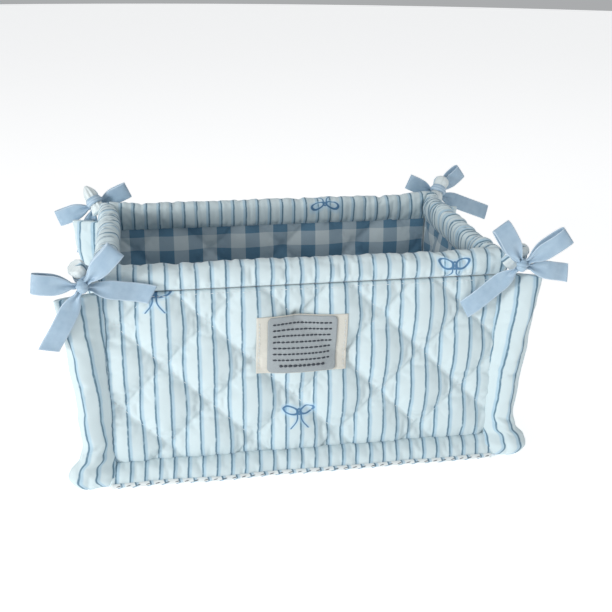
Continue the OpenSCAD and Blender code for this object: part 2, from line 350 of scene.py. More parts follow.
def let_swell(pieces, held, slack, pressure, most=0.012, steps=16, soft=0.4):
    """Sewn cloth finds its shape: held(point, index) is how firmly each point is stitched, slack
    the share of cloth to spare. It is worked out at ten times the size and at rest again after."""
    before = {}
    for piece in pieces:
        mesh = piece.data
        before[piece.name] = [v.co.copy() for v in mesh.vertices]
        pins = piece.vertex_groups.new(name="stitches")
        for v in mesh.vertices:
            grip = held(piece, v.co, v.index)
            if grip > 0:
                pins.add([v.index], grip, "REPLACE")
        for v in mesh.vertices:
            v.co *= 10
        cloth = piece.modifiers.new("swell", "CLOTH")
        rules = cloth.settings
        rules.quality = 5
        rules.mass = 0.3
        rules.tension_stiffness = rules.compression_stiffness = 15
        rules.shear_stiffness = 5
        rules.bending_stiffness = soft
        rules.vertex_group_mass = "stitches"
        rules.pin_stiffness = 5
        rules.shrink_min = -slack
        rules.use_pressure = True
        rules.uniform_pressure_force = pressure
        rules.effector_weights.gravity = 0
        cloth.collision_settings.use_collision = False
        cloth.collision_settings.use_self_collision = False
    for step in range(1, steps + 1):
        scene.frame_set(step)
    settled = bpy.context.evaluated_depsgraph_get()
    for piece in pieces:
        shape = [v.co / 10 for v in piece.evaluated_get(settled).data.vertices]
        piece.modifiers.clear()
        piece.vertex_groups.clear()
        for v, start, end in zip(piece.data.vertices, before[piece.name], shape):
            move = end - start
            v.co = start + move * min(1.0, most / max(move.length, 1e-9))
    scene.frame_set(1)


def round_off(piece, level=1):
    smooth = piece.modifiers.new("round", "SUBSURF")
    smooth.levels = smooth.render_levels = level
    smooth.uv_smooth = "PRESERVE_BOUNDARIES"
    smooth.use_limit_surface = False


def finish_padded(piece, slot, fill, *nodes):
    """The last steps that every padded piece of the basket shares."""
    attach(piece, "basket")
    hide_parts(*nodes)


def to_quilt_line(a, z):
    """Distance to the nearest quilting line, and to the nearest crossing of two."""
    first = (a + z + 0.0125) / quilt_diamond
    second = (a - z + 0.0045 - 0.002) / quilt_diamond
    off_first = abs(first - round(first)) * quilt_diamond / math.sqrt(2)
    off_second = abs(second - round(second)) * quilt_diamond / math.sqrt(2)
    return min(off_first, off_second), max(off_first, off_second)


def quilted_wall(name, side, material, facing, depth, low=seam_low, high=hem_line, inset=0.0):
    """facing is -1 for a cloth that faces out of the basket and 1 for the lining."""
    half = WALLS[side][1] - inset
    cells = round(2 * half / quilt_cell)
    rows = round((high - low) / quilt_cell)

    def place(s, t):
        a, z = (2 * s - 1) * half, low + t * (high - low)
        line, cross = to_quilt_line(a, z)
        pull = 0.0004 * max(0.0, 1 - line / 0.003) + 0.0016 * max(0.0, 1 - cross / 0.005)
        return Vector((a, depth - facing * pull, z))

    bm = cut_cloth(name, cells, rows, place, lambda s, t: ((2 * s - 1) * half, low + t * (high - low)))
    if facing > 0:
        bmesh.ops.reverse_faces(bm, faces=bm.faces[:])
    return make_piece(name, bm, material)


def quilt_held(piece, co, index):
    line, cross = to_quilt_line(co.x, co.z)
    edge = co.z < seam_low + 0.001 or co.z > hem_line - 0.001 or abs(co.x) > piece["half"] - 0.001
    if edge or cross < 0.001:
        return 1.0
    if line < 0.37 * quilt_cell:
        return 1.0 if (co.x * 1000) % 6.0 < 4.1 else 0.3
    return 0.0


def back_up(piece, depth):
    """Closes a swollen sheet with a flat back at a depth, so that it is a padded solid."""
    bm = bmesh.new()
    bm.from_mesh(piece.data)
    fronts = bm.faces[:]
    made = bmesh.ops.extrude_face_region(bm, geom=fronts, use_keep_orig=True)
    backs = [v for v in made["geom"] if isinstance(v, bmesh.types.BMVert)]
    for v in backs:
        v.co.y = depth
    new_faces = [f for f in made["geom"] if isinstance(f, bmesh.types.BMFace)]
    bmesh.ops.reverse_faces(bm, faces=new_faces)
    bmesh.ops.recalc_face_normals(bm, faces=bm.faces[:])
    bm.to_mesh(piece.data)
    bm.free()


stripe_start = {"front": 0.0063, "right": 0.002, "back": 0.004, "left": 0.005}
wall_pieces = []
for side in WALLS:
    prints = {"front": [((-0.0054, 0.0455), 0.0235), ((-0.1095, 0.146), 0.024)],
              "right": [((0.03, 0.06), 0.0235), ((-0.05, 0.11), 0.0235)],
              "back": [((0.06, 0.05), 0.0235), ((-0.07, 0.10), 0.0235)],
              "left": [((-0.02, 0.10), 0.0235), ((0.05, 0.05), 0.0235)]}[side]
    cotton = striped_cotton("striped_cotton_" + side, stripe_start[side], prints)
    piece = quilted_wall("quilted_wall_" + side, side, cotton, -1, 0.0)
    piece["half"] = WALLS[side][1]
    wall_pieces.append(piece)
let_swell(wall_pieces, quilt_held, 0.06, 9, most=0.008)
for piece in wall_pieces:
    for v in piece.data.vertices:
        line, cross = to_quilt_line(v.co.x, v.co.z)
        near = min(1.0, line / 0.002) * math.exp(-line / 0.008)
        near *= min(1.0, (piece["half"] - abs(v.co.x)) / 0.004, (v.co.z - seam_low) / 0.004,
                    (hem_line - v.co.z) / 0.002)
        gather = crease_at(v.co.x * 210, v.co.z * 210, 4.0) + 0.6 * crease_at(v.co.x * 420, v.co.z * 420, 9.0)
        v.co.y += 0.0013 * near * gather
for piece, side in zip(wall_pieces, WALLS):
    back_up(piece, 0.003)
    piece.data.transform(to_wall(side))
    round_off(piece)
    finish_padded(piece, "striped_cotton", 0.5, side + "_outer_panel")

# ---- Gingham lining ------------------------------------------------------------------------
# The inside is lined with half-inch gingham, quilted along the same lines as the outside, so it
# only swells a little.
gingham_square = 0.0127


def gingham(name, start):
    material, tree, shader = new_material(name)
    cloth = tree.nodes.new("ShaderNodeUVMap")
    cloth.uv_map = "cloth"
    weave = use_group(tree, plain_weave, cloth.outputs["UV"], Thread=0.0005)
    xyz = tree.nodes.new("ShaderNodeSeparateXYZ")
    tree.links.new(cloth.outputs["UV"], xyz.inputs[0])
    bands = []
    for axis in (0, 1):
        count = divided(tree, minus(tree, xyz.outputs[axis], start[axis]), gingham_square)
        bands.append(ease(tree, sum_up(tree, "PINGPONG", count, 1.0), 0.49, 0.51))
    blue = plus(tree, times(tree, bands[0], 0.56), times(tree, bands[1], 0.40))
    blue = plus(tree, blue, times(tree, minus(tree, weave.outputs["Slub"], 0.5), 0.12))
    colour = mix_colour(tree, blue, (0.68, 0.76, 0.78), (0.105, 0.245, 0.375))
    tree.links.new(colour, shader.inputs["Base Color"])
    set_inputs(shader, {"Roughness": 0.88, "Sheen Weight": 0.2})
    cloth_bump(tree, shader, weave.outputs["Height"], 0.0001)
    return material


lining_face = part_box("front_lining")[1][1] + WALLS["front"][2]
lining_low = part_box("base_lining")[1][2] - 0.001
lining_pieces = []
for side in WALLS:
    check = gingham("gingham_" + side, {"front": (0.0, 0.133), "right": (0.0032, 0.133),
                                        "back": (0.0073, 0.133), "left": (0.0, 0.133)}[side])
    piece = quilted_wall("quilted_lining_" + side, side, check, 1, lining_face, low=lining_low,
                         inset=lining_face)
    piece["half"] = WALLS[side][1] - lining_face
    lining_pieces.append(piece)
let_swell(lining_pieces, quilt_held, 0.02, 5, most=0.004)
for piece, side in zip(lining_pieces, WALLS):
    back_up(piece, lining_face - 0.0015)
    piece.data.transform(to_wall(side))
    round_off(piece)
    finish_padded(piece, "checked_lining", 0.3, side + "_lining")

# ---- Base ----------------------------------------------------------------------------------
# The bottom is a stiff quilted pad: gingham inside, striped cotton underneath, with a firm wadding
# between them. It lies flat, so its diamonds swell upwards only.
base_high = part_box("base_lining")[1]
for name, node, material, level, facing, inset in (
        ("quilted_base_lining", "base_lining", gingham("gingham_base", (0.0, 0.0)), base_high[2] - 0.001, 1,
         0.0095),
        ("quilted_base_underside", "base_outer_panel", striped_cotton("striped_cotton_base", 0.0), 0.0, -1,
         0.0)):
    half_x, half_y = base_high[0] - inset, base_high[1] - inset

    def base_place(s, t):
        x, y = (2 * s - 1) * half_x, (2 * t - 1) * half_y
        line, cross = to_quilt_line(x, y)
        puff = 0.0016 * (1 - math.exp(-line / 0.006)) - 0.0006 * math.exp(-cross / 0.003)
        puff += 0.0004 * crease_at(x * 90, y * 90, facing)
        return Vector((x, y, level + puff if facing > 0 else level + 0.0022 - puff))

    bm = cut_cloth(name, round(half_x / 0.0015), round(half_y / 0.0015), base_place,
                   lambda s, t: ((2 * s - 1) * half_x, (2 * t - 1) * half_y))
    if facing < 0:
        bmesh.ops.reverse_faces(bm, faces=bm.faces[:])
    made = bmesh.ops.extrude_face_region(bm, geom=bm.faces[:], use_keep_orig=True)
    for v in made["geom"]:
        if isinstance(v, bmesh.types.BMVert):
            v.co.z = level - facing * 0.0012 if facing > 0 else 0.0028
    bmesh.ops.reverse_faces(bm, faces=[f for f in made["geom"] if isinstance(f, bmesh.types.BMFace)])
    bmesh.ops.recalc_face_normals(bm, faces=bm.faces[:])
    piece = make_piece(name, bm, material)
    finish_padded(piece, "checked_lining" if facing > 0 else "striped_cotton", 0.3, node)

# ---- Wadding -------------------------------------------------------------------------------
# White polyester wadding fills the walls, the base and the hem, and is wholly inside the cloths.
wadding_stuff, tree, shader = new_material("wadding_fleece")
fluff_place = tree.nodes.new("ShaderNodeTexCoord")
fluff = tree.nodes.new("ShaderNodeTexNoise")
set_inputs(fluff, {"Scale": 420, "Detail": 6})
tree.links.new(fluff_place.outputs["Object"], fluff.inputs["Vector"])
tree.links.new(mix_colour(tree, fluff.outputs["Fac"], (0.72, 0.72, 0.70), (0.92, 0.92, 0.90)),
               shader.inputs["Base Color"])
shader.inputs["Roughness"].default_value = 0.95
cloth_bump(tree, shader, fluff.outputs["Fac"], 0.0008)
for node, piece in frame["nodes"].items():
    if node.endswith("_wadding") or node.endswith("_filler"):
        for slot_ in piece.material_slots:
            slot_.material = wadding_stuff

# ---- Stuffed hem ---------------------------------------------------------------------------
# A strip of the striped cotton is folded over a roll of wadding round the rim and sewn down on
# both faces. It is longer than the rim, so it gathers into small creases across the roll.
hem_low, hem_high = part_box("front_hem_casing")
hem_out = -hem_low[1] - WALLS["front"][2]
hem_in = hem_high[1] + WALLS["front"][2]
hem_mid, hem_half = (hem_in - hem_out) / 2, (hem_in + hem_out) / 2
hem_top = hem_high[2]
hem_skirt = hem_line - hem_low[2]
hem_round = 30
gather_seed = {"front": 3.0, "right": 11.0, "back": 23.0, "left": 37.0}


def hem_section(t):
    """The roll's outline, from the outer seam over the top to the inner seam: (inwards, up)."""
    angle = math.radians(-62 + 304 * t)
    c, s = math.cos(angle), math.sin(angle)
    bulge = 2 / 2.6
    inward = hem_mid - (hem_half + 0.0005) * math.copysign(abs(c) ** bulge, c)
    middle = (hem_line + hem_top) / 2
    up = middle + (hem_top - middle) * math.copysign(abs(s) ** bulge, s)
    if t > 0.62:
        drop = (t - 0.62) / 0.38
        up -= hem_skirt * drop * drop
        inward += (hem_in - 0.0012 - inward) * drop ** 3
    return inward, up


def gathers(side, a, t):
    """Creases across the roll, close together and deep on the right-hand wall's inner face."""
    seed = gather_seed[side]
    deep = {"front": 0.8, "right": 2.4, "back": 1.1, "left": 1.6}[side]
    lean = 0.004 * crease_at(a * 40, seed, 7.7)
    at = (a + lean * t) * 1000
    crease = crease_at(at / 4.2, t * 1.1, seed) + 0.6 * crease_at(at / 2.2, t * 1.6, seed + 5)
    inner = 1.0 if t > 0.45 else 0.6
    return deep * inner * crease


hem_pieces = []
hem_cottons = {"front": (0.0063, [((0.1105, 0.0095), 0.0235)]), "back": (0.004, [((-0.0452, 0.036), 0.024)]),
               "right": (0.001, []), "left": (0.006, [])}
for side, (start, prints) in hem_cottons.items():
    half = WALLS[side][1]

    def roll_place(s, t):
        inward, up = hem_section(t)
        a = (2 * s - 1) * (half - inward)
        swell = 0.0011 * gathers(side, a, t) * min(1.0, 8 * t, 8 * (1 - t))
        middle = Vector((hem_mid, (hem_line + hem_top) / 2))
        away = (Vector((inward, up)) - middle).normalized()
        return Vector((a, inward + away.x * swell, up + away.y * swell))

    bm = cut_cloth("hem", round(2 * half / 0.002), hem_round, roll_place,
                   lambda s, t: ((2 * s - 1) * (half - hem_section(t)[0]), 0.056 * t), tube=True)
    cotton = striped_cotton("striped_hem_" + side, start, prints,
                            pitch={"right": 0.0066, "left": 0.0080}.get(side, 0.0108))
    piece = make_piece("hem_roll_" + side, bm, cotton)
    piece["half"] = half
    hem_pieces.append(piece)


def hem_held(piece, co, index):
    reach = piece["half"] - co.y
    if abs(co.x) > reach - 0.0012:
        return 1.0
    low_out = co.z < hem_line + 0.0018 and co.y < hem_mid
    low_in = co.z < hem_line - hem_skirt + 0.0015 and co.y > hem_mid
    return 1.0 if low_out or low_in else 0.0


let_swell(hem_pieces, hem_held, 0.035, 5, most=0.0035)
for piece, side in zip(hem_pieces, hem_cottons):
    piece.data.transform(to_wall(side))
    round_off(piece)
    finish_padded(piece, "striped_cotton", 0.7, side + "_hem_casing", side + "_hem_filler")

# ---- Standing corner seams -----------------------------------------------------------------
# At each corner the edges of two quilted walls are sewn together and left standing outwards, from
# the hem to the floor, where they spread into a soft rounded foot.
CORNERS = {"front_left": (-1, -1), "front_right": (1, -1), "back_left": (-1, 1), "back_right": (1, 1)}
seam_turn = math.radians(20)
body_half_x, body_half_y = WALLS["right"][2], WALLS["front"][2]


def from_list(pairs, at):
    """The value at a height, eased between the listed (height, value) pairs."""
    if at <= pairs[0][0]:
        return pairs[0][1]
    for (x0, y0), (x1, y1) in zip(pairs, pairs[1:]):
        if at <= x1:
            share = (at - x0) / (x1 - x0)
            return y0 + (y1 - y0) * share * share * (3 - 2 * share)
    return pairs[-1][1]


def to_corner(corner):
    """From a corner's own place (out along its seam, across it, up) to the basket's."""
    sx, sy = CORNERS[corner]
    flip = Matrix.Diagonal((-sx, -sy, 1, 1))
    at_corner = Matrix.Translation((-body_half_x, -body_half_y, 0))
    return flip @ at_corner @ Matrix.Rotation(math.pi + seam_turn, 4, "Z")


seam_reach = [(0, 0.0215), (0.003, 0.0270), (0.009, 0.0300), (0.016, 0.0285), (0.024, 0.0235),
              (0.034, 0.0218), (0.060, 0.0240), (0.100, 0.0265), (0.130, 0.0285), (0.150, 0.0285)]
seam_thick = [(0, 0.0080), (0.004, 0.0115), (0.011, 0.0120), (0.020, 0.0065), (0.03, 0.0046), (0.15, 0.0044)]
seam_height = hem_line + 0.002
root_in = 0.005
seam_pieces = []


def seam_out(s, reach):
    """How far the cloth is from the corner, s of its way out and back again."""
    return reach * (math.cos(math.pi * (s - 0.5)) ** 0.62 if abs(s - 0.5) < 0.5 else 0.0)


for corner in CORNERS:
    sx, sy = CORNERS[corner]
    seed = 5.0 + 3 * sx + 7 * sy

    def seam_place(s, t):
        """s runs out along the front, round the edge and back along the other side."""
        z = t * seam_height
        fold = 0.0010 * crease_at(seed, z * 30, 0.3) + 0.0003 * crease_at(seed, z * 110, 1.3)
        reach = from_list(seam_reach, z) + fold
        thick = from_list(seam_thick, z) * (0.55 + 0.45 * min(1, (1 - t) * 12))
        angle = math.pi * (s - 0.5)
        out = seam_out(s, reach)
        across = thick * math.copysign(abs(math.sin(angle)) ** 0.7, math.sin(angle))
        neck = 0.8 + 0.2 * min(1.0, out / 0.006)
        ripple = 0.0007 * crease_at(out * 160, z * 120, seed) * min(1, out / 0.004)
        return Vector((out * (1 + root_in / 0.025) - root_in, across * neck + ripple, z))

    def seam_print(s, t):
        z = t * seam_height
        reach = from_list(seam_reach, z)
        out = seam_out(s, reach)
        return (out - reach if s < 0.5 else reach - out, z)

    bm = cut_cloth("seam", 75, 40, lambda s, t: seam_place(t, s), lambda s, t: seam_print(t, s), tube=True)
    piece = make_piece("standing_seam_" + corner, bm, striped_cotton("striped_seam_" + corner, 0.0035))
    seam_pieces.append(piece)


def seam_held(piece, co, index):
    if co.x < 0.0025 or co.z < 0.0015 or co.z > seam_height - 0.002:
        return 1.0
    return 0.0


let_swell(seam_pieces, seam_held, 0.02, 4, most=0.004)
for piece, corner in zip(seam_pieces, CORNERS):
    piece.data.transform(to_corner(corner))
    if CORNERS[corner][0] * CORNERS[corner][1] < 0:
        piece.data.flip_normals()
    for v in piece.data.vertices:
        v.co.z = max(v.co.z, 0.0)
    round_off(piece)
    finish_padded(piece, "striped_cotton", 0.6, corner + "_corner_seam")

# ---- Base welt -----------------------------------------------------------------------------
# A doubled flap of striped cotton is sewn round the foot of the walls and droops to the floor.
# A narrow tape binds its edge. Both pucker a little at the stitches.
welt_low, welt_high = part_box("front_base_welt")
welt_out = -welt_low[1] - WALLS["front"][2]
welt_reach = WALLS["front"][1] - welt_high[0]
welt_top = welt_high[2] - 0.0015
binding_out = -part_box("base_binding")[0][1] - WALLS["front"][2]
welt_pieces = []
for side in WALLS:
    half, seed = WALLS[side][1], gather_seed[side] + 50
    run = half - welt_reach + 0.009

    def welt_outline(t):
        """Round the flap's section: (outwards, up)."""
        corners = [(-0.001, welt_top), (0.003, welt_top + 0.0012), (0.0075, welt_top - 0.003),
                   (0.0105, 0.0075),
                   (welt_out, 0.003), (welt_out + 0.0002, 0.0008), (0.008, 0.0003), (0.002, 0.0003),
                   (-0.001, 0.002)]
        at = t * (len(corners) - 1)
        k = min(int(at), len(corners) - 2)
        p = [Vector(corners[max(0, min(len(corners) - 1, k + d))]) for d in (-1, 0, 1, 2)]
        f = at - k
        return 0.5 * (2 * p[1] + (p[2] - p[0]) * f + (2 * p[0] - 5 * p[1] + 4 * p[2] - p[3]) * f * f
                      + (3 * p[1] - p[0] - 3 * p[2] + p[3]) * f ** 3)

    def welt_place(s, t):
        out, up = welt_outline(t)
        a = (2 * s - 1) * run
        pucker = crease_at(a * 170, t * 2.0, seed) + 0.5 * crease_at(a * 380, t * 3, seed)
        sag = 0.0016 * crease_at(a * 22, 0.2, seed)
        out += 0.0006 * pucker + sag * (1 if out > 0.002 else 0)
        return Vector((a, -out, max(0.0002, up + 0.0004 * pucker)))

    bm = cut_cloth("welt", round(2 * run / 0.002), 22, welt_place,
                   lambda s, t: ((2 * s - 1) * run + 0.0014 * t * 3, 0.045 * t), tube=True)
    piece = make_piece("base_welt_" + side, bm, striped_cotton(
        "striped_welt_" + side, stripe_start[side] + 0.0015))
    piece["run"] = run
    welt_pieces.append(piece)
let_swell(welt_pieces, lambda piece, co,
          index: 1.0 if co.z < 0.0016 or co.y > -0.0012 or abs(co.x) > piece["run"] - 0.001
          else 0.0, 0.025, 4, most=0.0025)
for piece, side in zip(welt_pieces, WALLS):
    for v in piece.data.vertices:
        v.co.z = max(v.co.z, 0.0001)
    piece.data.transform(to_wall(side))
    round_off(piece)
    finish_padded(piece, "striped_cotton", 0.4, side + "_base_welt")

for side in WALLS:
    half, seed = WALLS[side][1], gather_seed[side] + 80
    run = half - welt_reach + 0.008

    def binding_place(s, t):
        a = (2 * s - 1) * run
        sag = 0.0016 * crease_at(a * 22, 0.2, seed - 30)
        lumps = 1 + 0.18 * crease_at(a * 230, 0.7, seed)
        angle = 2 * math.pi * t * 14 / 15
        out = binding_out - 0.0021 + sag + 0.0018 * lumps * math.cos(angle)
        return Vector((a, -out, 0.0021 + 0.0020 * lumps * math.sin(angle)))

    bm = cut_cloth("binding", round(2 * run / 0.0025), 14, binding_place,
                   lambda s, t: ((2 * s - 1) * run + 0.0025 * t, 0.012 * t), tube=True)
    piece = make_piece("binding_tape_" + side, bm, striped_cotton(
        "striped_binding_" + side, stripe_start[side] + 0.0040, white=(0.78, 0.82, 0.82)))
    round_off(piece)
    piece.data.transform(to_wall(side))
    finish_padded(piece, "binding_tape", 0.4, "base_binding")

# ---- Hem ears ------------------------------------------------------------------------------
# At each corner the ends of the two hems are pinched together into a short soft ear, which stands
# out above the bow that ties it. Each ear is folded its own way, so no two tips are alike.
ear_root_in, ear_turned, ear_rise = 0.002, math.radians(225), math.radians(50)
ear_foot_z = (hem_line + hem_top) / 2
ear_shapes = {
    "front_left": ([(0, 0.0075), (0.006, 0.0058), (0.011, 0.0044), (0.015, 0.0058), (0.0195, 0.0064),
                    (0.0215, 0.0056),
                    (0.0212, 0.003), (0.0212, 0.0)], 0.05),
    "front_right": ([(0, 0.0075), (0.006, 0.0058), (0.011, 0.0046), (0.0145, 0.0055), (0.018, 0.0048),
                     (0.020, 0.003),
                     (0.0202, 0.0)], 0.10),
    "back_left": ([(0, 0.0075), (0.006, 0.0058), (0.011, 0.0044), (0.016, 0.0060), (0.020, 0.0052),
                   (0.024, 0.0032),
                   (0.0265, 0.0014), (0.027, 0.0)], 0.16),
    "back_right": ([(0, 0.0075), (0.006, 0.0058), (0.011, 0.0044), (0.0145, 0.0062), (0.0185, 0.0070),
                    (0.0225, 0.0058),
                    (0.0245, 0.003), (0.025, 0.0)], 0.07)}


def along_ear(corner):
    """From an ear's own place (out along it is up) to the basket's."""
    sx, sy = CORNERS[corner]
    flip = Matrix.Diagonal((-sx, -sy, 1, 1))
    foot = Vector((-body_half_x - ear_root_in, -body_half_y - ear_root_in, ear_foot_z))
    return (flip @ Matrix.Translation(foot) @ Matrix.Rotation(ear_turned, 4, "Z")
            @ Matrix.Rotation(math.pi / 2 - ear_rise, 4, "Y"))


for corner, (outline, pleat) in ear_shapes.items():
    seed = 60 + 3 * CORNERS[corner][0] + 7 * CORNERS[corner][1]

    def ear_place(s, t):
        at = s * (len(outline) - 1)
        k = min(int(at), len(outline) - 2)
        f = at - k
        up = outline[k][0] * (1 - f) + outline[k + 1][0] * f
        reach = max(0.0002, outline[k][1] * (1 - f) + outline[k + 1][1] * f)
        angle = 2 * math.pi * t * 27 / 28
        fold = math.sin(9 * angle + seed) + 0.6 * math.sin(14 * angle + 2 * seed)
        reach *= 1 + pleat * fold * min(1.0, up / 0.008) + 0.05 * crease_at(math.cos(angle), up * 200, seed)
        return Vector((reach * math.cos(angle), reach * math.sin(angle), up))

    bm = cut_cloth("ear", 30, 27, ear_place, lambda s, t: (0.036 * t, 0.03 * s), tube=True)
    bmesh.ops.remove_doubles(bm, verts=bm.verts[:], dist=0.00001)
    # The ears' cotton is given a lighter white than the hem cloth they are made from: a painted highlight on
    # the ears.
    piece = make_piece("hem_ear_" + corner, bm,
                       striped_cotton("striped_ear_" + corner, 0.012, white=(0.72, 0.79, 0.80), pitch=0.030),
                       along_ear(corner))
    if CORNERS[corner][0] * CORNERS[corner][1] < 0:
        piece.data.flip_normals()
    round_off(piece)
    finish_padded(piece, "striped_cotton", 0.5, corner + "_hem_ear")

# ---- Satin bows ----------------------------------------------------------------------------
# Half-inch pale blue satin ribbon is tied round each ear. Its loops and tails are flat bands that
# gather into pleats at a small tight knot, and the tails are cut on a slant.
satin, tree, shader = new_material("satin_ribbon")
ribbon_uv = tree.nodes.new("ShaderNodeUVMap")
ribbon_uv.uv_map = "cloth"
ribbon_xy = tree.nodes.new("ShaderNodeSeparateXYZ")
tree.links.new(ribbon_uv.outputs["UV"], ribbon_xy.inputs[0])
ribs = sum_up(tree, "SINE", times(tree, ribbon_xy.outputs[0], 2 * math.pi / 0.00045))
painted_sheen_and_roughness = tree.nodes.new("ShaderNodeTexNoise")
painted_sheen_and_roughness.inputs["Scale"].default_value = 160
tree.links.new(ribbon_uv.outputs["UV"], painted_sheen_and_roughness.inputs["Vector"])
# The satin's colour is mixed at random between a shaded blue and a lit blue: painted shade and painted
# highlights. The same noise also varies the roughness.
colour = mix_colour(tree, painted_sheen_and_roughness.outputs["Fac"], (0.25, 0.385, 0.52), (0.43, 0.57, 0.69))
edge = ease(tree, sum_up(tree, "ABSOLUTE", minus(tree, ribbon_xy.outputs[1], 0.007)), 0.0060, 0.0066)
colour = mix_colour(tree, times(tree, edge, 0.45), colour, (0.66, 0.78, 0.88))
tree.links.new(colour, shader.inputs["Base Color"])
tree.links.new(plus(tree, times(tree, painted_sheen_and_roughness.outputs["Fac"], 0.12), 0.24), shader.inputs["Roughness"])
set_inputs(shader, {"Anisotropic": 0.6, "Sheen Weight": 0.25, "Specular IOR Level": 0.6})
cloth_bump(tree, shader, ribs, 0.00006, 0.35)

knot_middle = Vector((0.1574, 0.1060, 0.16285))
ribbon_width, ribbon_narrow, ribbon_taper = 0.014, 0.0046, 0.014
neck_at, neck_r = 0.011, 0.0062
for corner, (sx, sy) in CORNERS.items():
    seed = 80 + 3 * sx + 7 * sy
    middle = Vector((sx * knot_middle.x, sy * knot_middle.y, knot_middle.z))

    def band_place(s, t):
        """The ribbon's band round the ear's neck, a flat oval in section, closed into a ring."""
        angle, turn_ = 2 * math.pi * t * 15 / 16, 2 * math.pi * s
        pleats = 0.0004 * math.sin(3 * angle + 2) + 0.0003 * crease_at(turn_ * 1.5, angle, seed)
        reach = neck_r + (0.0009 + pleats) * math.cos(angle)
        return Vector((reach * math.cos(turn_), reach * math.sin(turn_), neck_at + 0.0032 * math.sin(angle)))

    bm = cut_cloth("band", 40, 15, lambda s, t: band_place(s, t), lambda s, t: (0.04 * s, 0.014 * t),
                   tube=True)
    bmesh.ops.transform(bm, matrix=along_ear(corner), verts=bm.verts[:])
    knot_bm = bmesh.new()
    bmesh.ops.create_uvsphere(knot_bm, u_segments=36, v_segments=22, radius=1.0)
    knot_uv = knot_bm.loops.layers.uv.new("cloth")
    for face_ in knot_bm.faces:
        face_.smooth = True
        for loop in face_.loops:
            co = loop.vert.co
            loop[knot_uv].uv = (0.004 * math.atan2(co.y, co.x), 0.007 + 0.005 * co.z)
    for v in knot_bm.verts:
        angle = math.atan2(v.co.y, v.co.x)
        pleats = 1 + 0.07 * math.sin(11 * v.co.z + 2.2 * crease_at(v.co.x, v.co.y, seed))
        pinch = 1 - 0.10 * abs(v.co.z) ** 3
        v.co = Vector((v.co.x * 0.0043 * pleats * pinch, v.co.y * 0.0043 * pleats * pinch, v.co.z * 0.0050))
    knot_bm.transform(Matrix.Translation(middle) @ Vector((0, 0, 1)).rotation_difference(
        Vector((-sy * 0.2 * sx, 0.25, 1))).to_matrix().to_4x4())
    knot_mesh = bpy.data.meshes.new("knot")
    knot_bm.to_mesh(knot_mesh)
    knot_bm.free()
    bm.from_mesh(knot_mesh)
    bpy.data.meshes.remove(knot_mesh)
    bmesh.ops.recalc_face_normals(bm, faces=bm.faces[:])
    knot = make_piece("bow_knot_" + corner, bm, satin)
    finish_padded(knot, "satin_ribbon", 1.0, corner + "_bow_knot")

for joint in frame["joints"]:
    name = joint["child"]
    corner = "_".join(name.split("_")[:2])
    sx, sy = CORNERS[corner]
    start = Vector(joint["pos_m"])
    middle = Vector((sx * knot_middle.x, sy * knot_middle.y, knot_middle.z))
    along = (start - middle).normalized()
    wide = Vector(joint["axis"]).normalized()
    wide = (wide - along * wide.dot(along)).normalized()
    if wide.z < 0:
        wide = -wide
    thin = wide.cross(along)
    node_mesh = frame["nodes"][name].data
    length = max((v.co - start).dot(along) for v in node_mesh.vertices)
    is_loop = "_loop_" in name
    seed = sum(map(ord, name)) * 0.37
    root_back = 0.0030
    run = 2 * (length + root_back) if is_loop else length + root_back

    def ribbon_place(s, t):
        side_ = 2 * t - 1
        if is_loop:
            reach = (1 - math.cos(2 * math.pi * s)) / 2
            reach = reach ** 0.85
            x = reach * (length - 0.0006) - root_back * (1 - reach)
            open_ = 0.0040 * math.copysign(abs(math.sin(2 * math.pi * s)) ** 0.8, math.sin(2 * math.pi * s))
            y = open_ * (0.35 + 0.65 * reach) * (1 + 0.25 * side_ * math.sin(seed))
        else:
            x = s * (length + root_back) - root_back
            x -= 0.0035 * (side_ * (1 if sx > 0 else -1) + 1) / 2 * s ** 4
            y = 0.0016 * math.sin(2.2 * math.pi * s + seed) * s + 0.0010 * side_ * s * math.sin(seed * 1.7)
        spread = min(1.0, max(0.0, x) / ribbon_taper)
        half = (ribbon_narrow + (ribbon_width - ribbon_narrow) * spread * (2 - spread)) / 2
        y += 0.0011 * (1 - spread) ** 1.2 * math.cos(3 * math.pi * t
                                                     + seed) + 0.0004 * spread * side_ * side_ * math.sin(seed)
        return start + along * x + thin * y + wide * (side_ * half)

    bm = cut_cloth("ribbon", 48 if is_loop else 36, 16, ribbon_place, lambda s,
                   t: (run * s, ribbon_width * t))
    ribbon = make_piece("ribbon_" + name, bm, satin)
    weave_ = ribbon.modifiers.new("cloth_thickness", "SOLIDIFY")
    weave_.thickness = 0.00035
    weave_.offset = 0.0
    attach(ribbon, name)
    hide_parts(name)

# ---- Stitches ------------------------------------------------------------------------------
# White thread: running stitches along the quilting lines and along the seam under the hem.
thread, tree, shader = new_material("sewing_thread")
thread_place = tree.nodes.new("ShaderNodeTexCoord")
twist = tree.nodes.new("ShaderNodeTexNoise")
twist.inputs["Scale"].default_value = 2500
tree.links.new(thread_place.outputs["Object"], twist.inputs["Vector"])
tree.links.new(mix_colour(tree, twist.outputs["Fac"], (0.55, 0.62, 0.66), (0.80, 0.84, 0.85)),
               shader.inputs["Base Color"])
shader.inputs["Roughness"].default_value = 0.6
cloth_bump(tree, shader, twist.outputs["Fac"], 0.0002)

dark_thread = thread.copy()
dark_thread.name = "dark_thread"
for node in dark_thread.node_tree.nodes:
    if node.type == "MIX":
        set_inputs(node, {"A": (0.02, 0.03, 0.04, 1), "B": (0.06, 0.07, 0.09, 1)})


